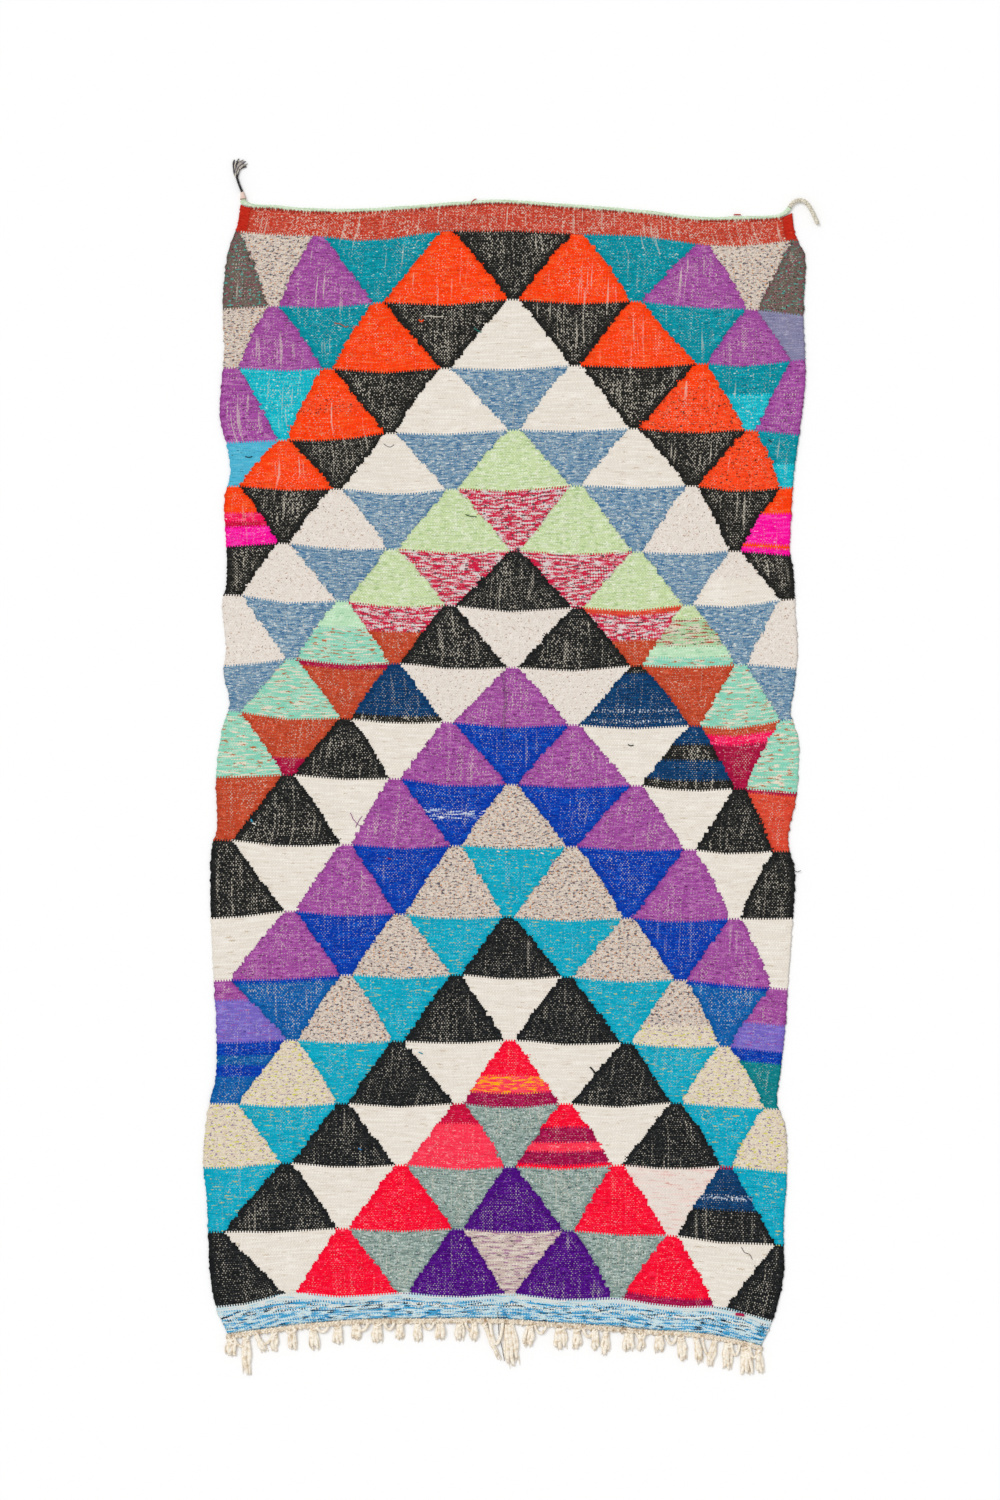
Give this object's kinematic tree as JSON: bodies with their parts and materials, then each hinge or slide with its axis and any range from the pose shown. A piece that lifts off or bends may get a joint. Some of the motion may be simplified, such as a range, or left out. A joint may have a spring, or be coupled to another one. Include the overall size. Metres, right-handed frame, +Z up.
{
  "type": "boucherouite rug",
  "caption": "Long flat-woven rug in a patchwork of woven triangles, with an uneven outline, a corded top end, a plaited and tasselled bottom end, and loose ties at the top corners.",
  "frame": {"origin": "on the floor, under the middle of the box round the cloth, the heading braid and the fringe, without the corner ties", "axes": "+X across the rug to the right as the picture shows it, +Y along its length towards the corded heading end, +Z up out of the face with the pattern"},
  "size_m": [1.5401, 3.0408, 0.0129],
  "materials": {
    "woven_wool": "matt weft-faced plain weave in wool, cotton and synthetic yarns",
    "green_braid": "matt twisted cord",
    "warp_wool": "matt plaited and knotted warp ends",
    "beige_wrapping": "matt wrapped yarn",
    "grey_tie": "matt twisted cord",
    "grey_tuft": "matt loose yarn ends",
    "cream_tie": "matt twisted cord"
  },
  "bodies": {
    "root": {"rug_cloth": "woven_wool", "heading_braid": "green_braid", "fringe": "warp_wool", "corner_wrap_left": "beige_wrapping", "corner_tie_left": "grey_tie", "corner_tuft_left": "grey_tuft", "corner_tie_right": "cream_tie"}
  },
  "joints": []
}
